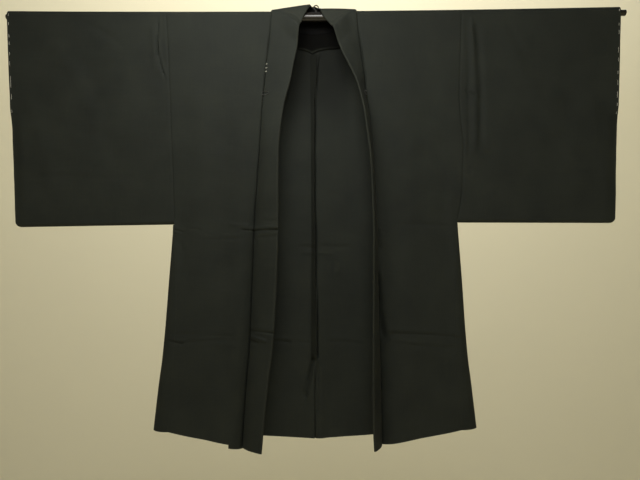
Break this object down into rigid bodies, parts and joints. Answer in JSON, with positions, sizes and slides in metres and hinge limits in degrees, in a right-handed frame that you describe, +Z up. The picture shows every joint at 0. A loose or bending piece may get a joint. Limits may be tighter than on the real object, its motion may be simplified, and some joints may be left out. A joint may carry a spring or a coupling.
{
  "type": "haori jacket on a rod hanger",
  "caption": "Knee-length kimono jacket with square sleeves, side gussets and a long folded collar, spread flat on a thin rod through both sleeves.",
  "frame": {"origin": "the point inside the bend of the hook where the hanger bears, straight above the middle of the rod", "axes": "+X along the rod, +Y from the open front to the back, +Z up. Left and right in the names are as seen from the open front"},
  "size_m": [1.408, 0.097, 1.0173],
  "materials": {
    "black_silk": "dull plain-weave silk, black with a faint green cast",
    "lining_silk": "smooth black lining silk",
    "cord": "twisted black cord",
    "enamel": "glossy black enamel"
  },
  "bodies": {
    "root": {"body_left": "black_silk", "body_right": "black_silk", "sleeve_left": "black_silk", "sleeve_right": "black_silk", "gusset_left": "black_silk", "gusset_right": "black_silk", "collar_left": "black_silk", "collar_right": "black_silk", "hem_turning": "black_silk", "back_seam_binding": "black_silk", "shoulder_lining": "lining_silk", "cord_loop_left": "cord", "cord_loop_right": "cord", "rod_centre": "enamel", "rod_end_left": "enamel", "rod_end_right": "enamel", "hook": "enamel"}
  },
  "joints": []
}
